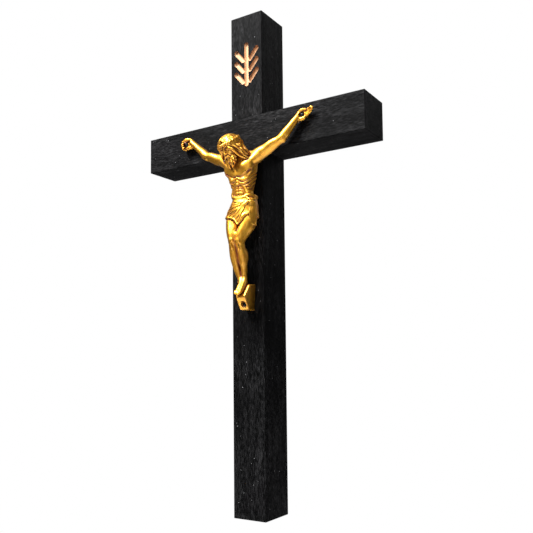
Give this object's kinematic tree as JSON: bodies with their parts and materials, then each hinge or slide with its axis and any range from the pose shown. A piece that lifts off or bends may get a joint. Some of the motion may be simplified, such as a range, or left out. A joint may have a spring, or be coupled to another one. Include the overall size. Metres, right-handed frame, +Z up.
{
  "type": "wall crucifix",
  "caption": "Black-stained wooden cross of half-lapped beams with a screwed-on gold-finished cast figure, a routed leaf sprig above it and a keyhole hanger let into the back.",
  "frame": {"origin": "middle of the crossing on the flat back face, which goes against the wall", "axes": "+Z up along the upright, +X to the carved figure's left (the viewer's right), +Y out of the back towards the wall, so the figure faces -Y"},
  "size_m": [0.276, 0.0817, 0.54],
  "materials": {
    "black_stained_wood": "open-grained timber stained black, matt, with the grain showing; the routed strokes are bare tan wood",
    "gold_finish": "satin gold with brown patina in the recesses",
    "blackened_steel": "blackened, glossy",
    "zinc_plate": "zinc plated"
  },
  "bodies": {
    "root": {"upright_beam": "black_stained_wood", "cross_beam": "black_stained_wood", "figure_body": "gold_finish", "figure_left_arm": "gold_finish", "figure_right_arm": "gold_finish", "left_hand_screw": "blackened_steel", "right_hand_screw": "blackened_steel", "foot_screw": "blackened_steel", "lap_screws": "zinc_plate", "hanger_plate": "zinc_plate", "hanger_screws": "zinc_plate"}
  },
  "joints": []
}
